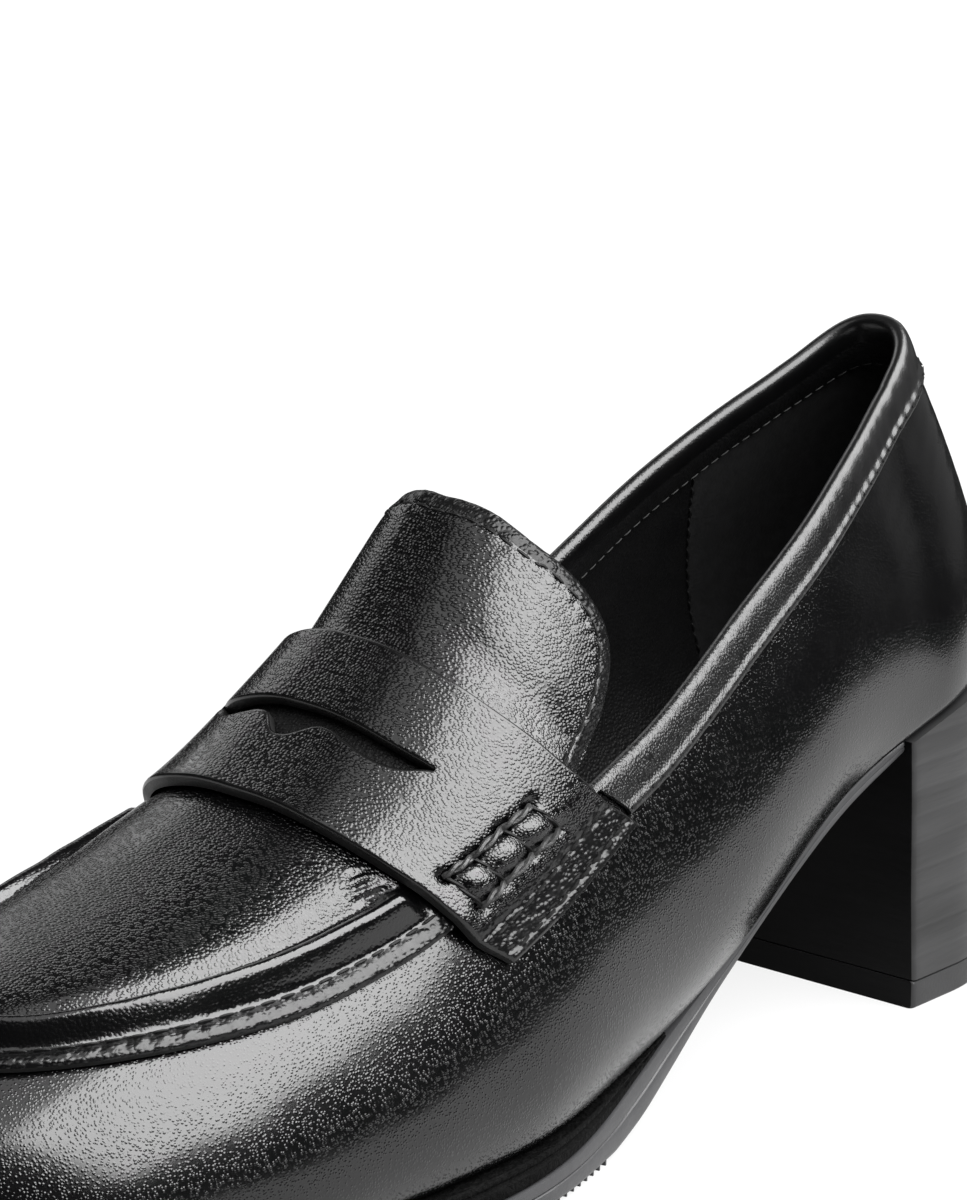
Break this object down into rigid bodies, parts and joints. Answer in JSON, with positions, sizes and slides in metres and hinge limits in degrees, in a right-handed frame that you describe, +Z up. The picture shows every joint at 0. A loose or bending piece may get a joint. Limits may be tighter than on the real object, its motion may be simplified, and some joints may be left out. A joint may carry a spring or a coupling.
{
  "type": "heeled penny loafer",
  "caption": "Left heeled loafer in black leather: moccasin toe apron, slotted saddle strap, round-eared tongue, bound collar, thin grey sole and a stacked block heel.",
  "frame": {"origin": "on the floor, under the middle of the shoe's bounding box", "axes": "+X to the toe, +Y to the outer side of the foot, +Z up"},
  "size_m": [0.2482, 0.0804, 0.1151],
  "materials": {
    "black_leather": "semi-gloss, fine pebbled grain",
    "collar_leather": "semi-gloss, folded over the edge",
    "sock_leather": "matt lining leather",
    "grey_rubber": "satin",
    "black_welt": "matt with a fine milled edge",
    "stacked_heel": "stained stack, satin",
    "rubber_lift": "matt"
  },
  "bodies": {
    "root": {"upper": "black_leather", "apron": "black_leather", "tongue": "black_leather", "saddle_strap": "black_leather", "collar_binding": "collar_leather", "insole": "sock_leather", "midsole": "black_welt", "outsole": "grey_rubber", "heel_block": "stacked_heel", "heel_top_lift": "rubber_lift"}
  },
  "joints": []
}
